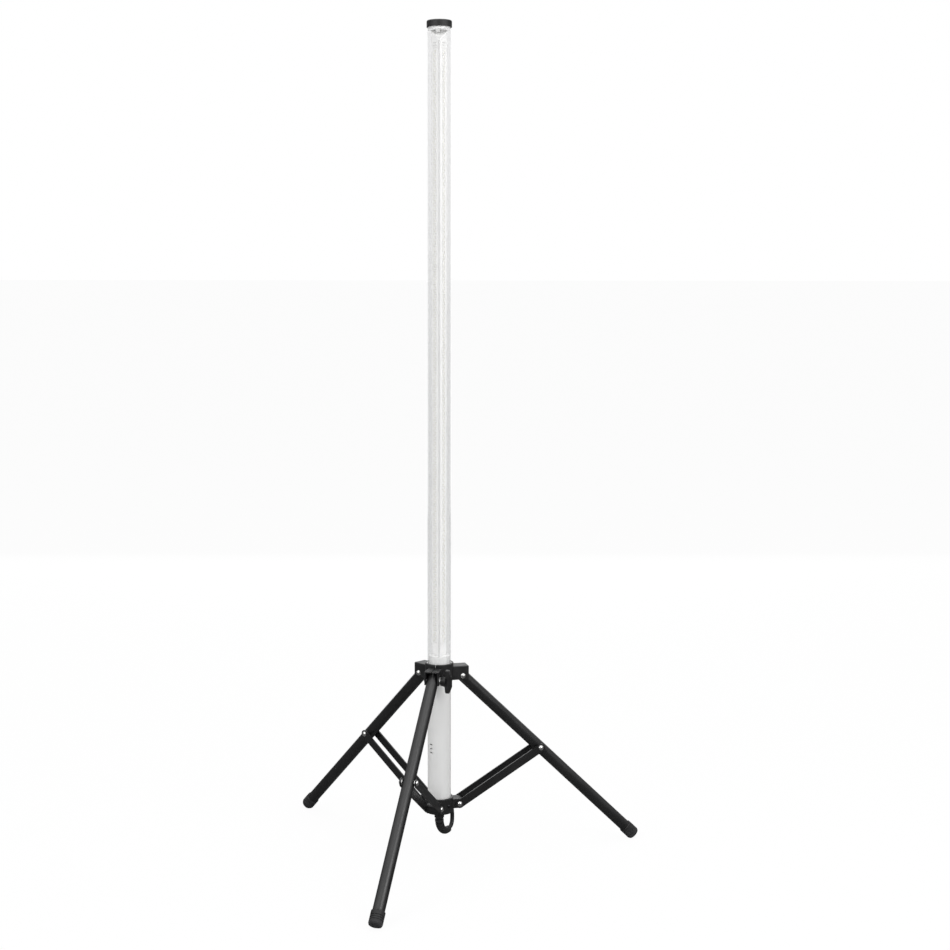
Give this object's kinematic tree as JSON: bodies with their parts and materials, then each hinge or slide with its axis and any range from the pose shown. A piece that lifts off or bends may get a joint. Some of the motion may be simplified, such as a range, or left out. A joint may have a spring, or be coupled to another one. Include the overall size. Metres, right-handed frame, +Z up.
{
  "type": "led light tube",
  "caption": "Slim clear LED light tube on a black folding tripod, with a sliding clamp hub, double flat braces, rubber feet and a supply lead tied behind the pole.",
  "frame": {"origin": "on the pole's axis, on the floor that the three feet stand on", "axes": "+Z up along the pole; one leg points along -Y, the others at 30 and 150 degrees from +X"},
  "size_m": [0.7966, 0.6936, 1.7706],
  "materials": {
    "clear_plastic": "clear polycarbonate, polished",
    "white_plastic": "white moulded or extruded plastic, satin",
    "black_moulding": "black glass-filled nylon, finely textured",
    "knob_plastic": "black nylon, satin",
    "zinc_steel": "zinc-plated steel",
    "black_screw": "black-oxide steel",
    "seal_rubber": "grey silicone, matte",
    "white_light_core": "white powder-coated aluminium extrusion",
    "led_board": "white solder mask",
    "wire_sheath": "thin coloured wire insulation",
    "lead_jacket": "black rubber lead jacket, matte",
    "boot_rubber": "black moulded rubber, matte",
    "tie_fabric": "black hook-and-loop tape",
    "plug_brass": "nickel-bright brass",
    "black_paint": "black satin powder coat on steel tube",
    "black_bar": "black satin coat on flat steel bar",
    "foot_rubber": "black rubber, matte"
  },
  "bodies": {
    "pole": {"clear_tube": "clear_plastic", "lower_sleeve": "white_plastic", "top_cap": "black_moulding", "cap_screws": "zinc_steel", "cap_seal": "seal_rubber", "light_core": "white_light_core", "light_boards": "led_board", "top_end_plug": "white_plastic", "bottom_end_plug": "white_plastic", "driver_tray": "white_plastic", "driver_cover": "white_plastic", "driver_board": "led_board", "core_wires": "wire_sheath", "lower_hub": "black_moulding", "hub_screws": "black_screw", "lower_pivot_rivets": "zinc_steel", "gland_body": "black_moulding", "gland_nut": "black_moulding", "inner_lead": "lead_jacket", "strain_relief_boot": "boot_rubber", "supply_lead": "lead_jacket", "lead_hank": "lead_jacket", "lead_tail": "lead_jacket", "tie_saddles": "black_moulding", "hank_ties": "tie_fabric", "plug_body": "boot_rubber", "plug_pins": "plug_brass"},
    "upper_hub": {"upper_hub": "black_moulding", "hub_liner": "white_plastic", "upper_pivot_rivets": "zinc_steel", "clamp_bolt": "zinc_steel", "clamp_washer": "zinc_steel"},
    "knob": {"wing_knob": "knob_plastic", "knob_insert": "plug_brass"},
    "leg_front": {"leg_tube_front": "black_paint", "leg_top_plug_front": "black_moulding", "rubber_foot_front": "foot_rubber"},
    "brace_front": {"brace_bars_front": "black_bar", "middle_rivets_front": "zinc_steel"},
    "leg_right": {"leg_tube_right": "black_paint", "leg_top_plug_right": "black_moulding", "rubber_foot_right": "foot_rubber"},
    "brace_right": {"brace_bars_right": "black_bar", "middle_rivets_right": "zinc_steel"},
    "leg_left": {"leg_tube_left": "black_paint", "leg_top_plug_left": "black_moulding", "rubber_foot_left": "foot_rubber"},
    "brace_left": {"brace_bars_left": "black_bar", "middle_rivets_left": "zinc_steel"}
  },
  "joints": [
    {"name": "hub_slide", "type": "slide", "parent": "pole", "child": "upper_hub", "axis": [0, 0, 1], "range_m": [0, 0.1759]},
    {"name": "knob_turn", "type": "hinge", "parent": "upper_hub", "child": "knob", "pos_m": [0.03, -0.049, 0.3955], "axis": [1, 0, 0], "range_deg": [0, 270]},
    {"name": "leg_pivot_front", "type": "hinge", "parent": "upper_hub", "child": "leg_front", "pos_m": [0, -0.049, 0.3955], "axis": [1, 0, 0], "range_deg": [0, 42.83]},
    {"name": "brace_pivot_front", "type": "hinge", "parent": "pole", "child": "brace_front", "pos_m": [0, -0.0417, 0.1125], "axis": [-1, 0, 0], "range_deg": [0, 53.2]},
    {"name": "leg_pivot_right", "type": "hinge", "parent": "upper_hub", "child": "leg_right", "pos_m": [0.04244, 0.0245, 0.3955], "axis": [-0.5, 0.866, 0], "range_deg": [0, 42.83]},
    {"name": "brace_pivot_right", "type": "hinge", "parent": "pole", "child": "brace_right", "pos_m": [0.03611, 0.02085, 0.1125], "axis": [0.5, -0.866, 0], "range_deg": [0, 53.2]},
    {"name": "leg_pivot_left", "type": "hinge", "parent": "upper_hub", "child": "leg_left", "pos_m": [-0.04244, 0.0245, 0.3955], "axis": [-0.5, -0.866, 0], "range_deg": [0, 42.83]},
    {"name": "brace_pivot_left", "type": "hinge", "parent": "pole", "child": "brace_left", "pos_m": [-0.03611, 0.02085, 0.1125], "axis": [0.5, 0.866, 0], "range_deg": [0, 53.2]}
  ],
  "couplings": [
    {"joint": "leg_pivot_front", "follows": "hub_slide", "rad_per_m": 4.2488},
    {"joint": "brace_pivot_front", "follows": "hub_slide", "rad_per_m": 5.2775},
    {"joint": "leg_pivot_right", "follows": "hub_slide", "rad_per_m": 4.2488},
    {"joint": "brace_pivot_right", "follows": "hub_slide", "rad_per_m": 5.2775},
    {"joint": "leg_pivot_left", "follows": "hub_slide", "rad_per_m": 4.2488},
    {"joint": "brace_pivot_left", "follows": "hub_slide", "rad_per_m": 5.2775}
  ]
}
